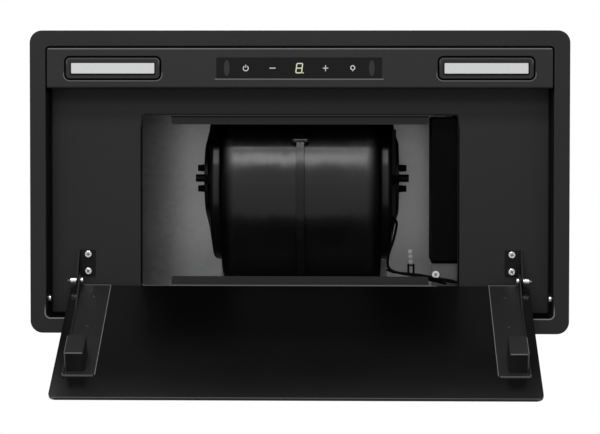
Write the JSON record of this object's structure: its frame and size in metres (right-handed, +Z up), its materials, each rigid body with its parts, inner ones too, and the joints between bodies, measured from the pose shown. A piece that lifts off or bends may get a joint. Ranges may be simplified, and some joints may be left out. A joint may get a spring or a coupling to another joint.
{
  "type": "range hood",
  "caption": "Built-in kitchen range hood with a hinged perimeter suction panel, lamp and touch-control strip, double-inlet centrifugal blower and top duct outlet with backdraft flaps.",
  "frame": {"origin": "centre of the cabinet cut-out in the plane of the flange's upper face, where the hood seats against the cabinet floor", "axes": "+Z up into the cabinet and out along the duct, -Y to the front edge with the lamps and keys, +X to the cook's right"},
  "size_m": [0.525, 0.3413, 0.4388],
  "materials": {
    "black_coat": "semi-gloss powder coat",
    "panel_coat": "gloss powder coat",
    "galvanised": "galvanised sheet",
    "bright_zinc": "bright zinc plate",
    "core_steel": "bare laminations",
    "heat_sink": "plain",
    "gloss_black": "gloss",
    "black_plastic": "fine grain",
    "white_plastic": "plain",
    "opal": "opal",
    "board_green": "solder mask",
    "black_rubber": "matt",
    "black_lead": "satin",
    "grey_lead": "satin"
  },
  "bodies": {
    "housing": {"rim_frame": "black_coat", "ceiling_plate": "black_coat", "light_strip": "black_coat", "hinge_bracket_left": "black_coat", "hinge_bracket_right": "black_coat", "bracket_screws": "bright_zinc", "hinge_pins": "bright_zinc", "filter_rail_front": "black_coat", "filter_rail_rear": "black_coat", "led_bezel_left": "black_plastic", "led_bezel_right": "black_plastic", "led_lens_left": "opal", "led_lens_right": "opal", "led_module_left": "heat_sink", "led_module_right": "heat_sink", "control_fascia": "gloss_black", "control_housing": "black_plastic", "control_board": "board_green", "casing_side_left": "galvanised", "casing_side_right": "galvanised", "casing_front": "galvanised", "casing_rear": "galvanised", "casing_top": "galvanised", "sheet_screws": "bright_zinc", "seam_bolts": "black_coat", "mount_bolts": "black_coat", "scroll_left": "gloss_black", "scroll_right": "gloss_black", "inlet_spider_left": "black_coat", "inlet_spider_right": "black_coat", "motor_bushes": "black_rubber", "motor_can": "black_coat", "motor_cap": "black_coat", "motor_stator": "core_steel", "bearing_plate": "black_coat", "ball_bearings": "bright_zinc", "outlet_collar": "black_plastic", "electronics_box": "black_plastic", "electronics_lid": "black_plastic", "electronics_support": "galvanised", "run_capacitor": "white_plastic", "mains_gland": "black_plastic", "motor_lead": "black_lead", "control_lead": "grey_lead", "lamp_leads": "grey_lead", "side_clip_left": "galvanised", "side_clip_right": "galvanised"},
    "panel": {"panel_skin": "panel_coat", "panel_liner": "panel_coat", "hinge_arm_left": "black_coat", "hinge_arm_right": "black_coat", "catch_block_left": "black_plastic", "catch_block_right": "black_plastic", "arm_rivets": "black_coat"},
    "impeller": {"impeller_wheel": "galvanised", "impeller_hub": "heat_sink", "motor_shaft": "bright_zinc", "motor_rotor": "core_steel"},
    "flap_front": {"flap_front": "black_plastic"},
    "flap_rear": {"flap_rear": "black_plastic"}
  },
  "joints": [
    {"name": "panel_hinge", "type": "hinge", "parent": "housing", "child": "panel", "pos_m": [0, 0.097, 0.0118], "axis": [1, 0, 0], "range_deg": [-118, 0]},
    {"name": "impeller_spin", "type": "hinge", "parent": "housing", "child": "impeller", "pos_m": [0, 0, 0.14505], "axis": [1, 0, 0], "continuous": true},
    {"name": "flap_front_hinge", "type": "hinge", "parent": "housing", "child": "flap_front", "pos_m": [0, 0.02635, 0.25606], "axis": [-1, 0, 0], "range_deg": [0, 80]},
    {"name": "flap_rear_hinge", "type": "hinge", "parent": "housing", "child": "flap_rear", "pos_m": [0, 0.03315, 0.25606], "axis": [1, 0, 0], "range_deg": [0, 80]}
  ]
}
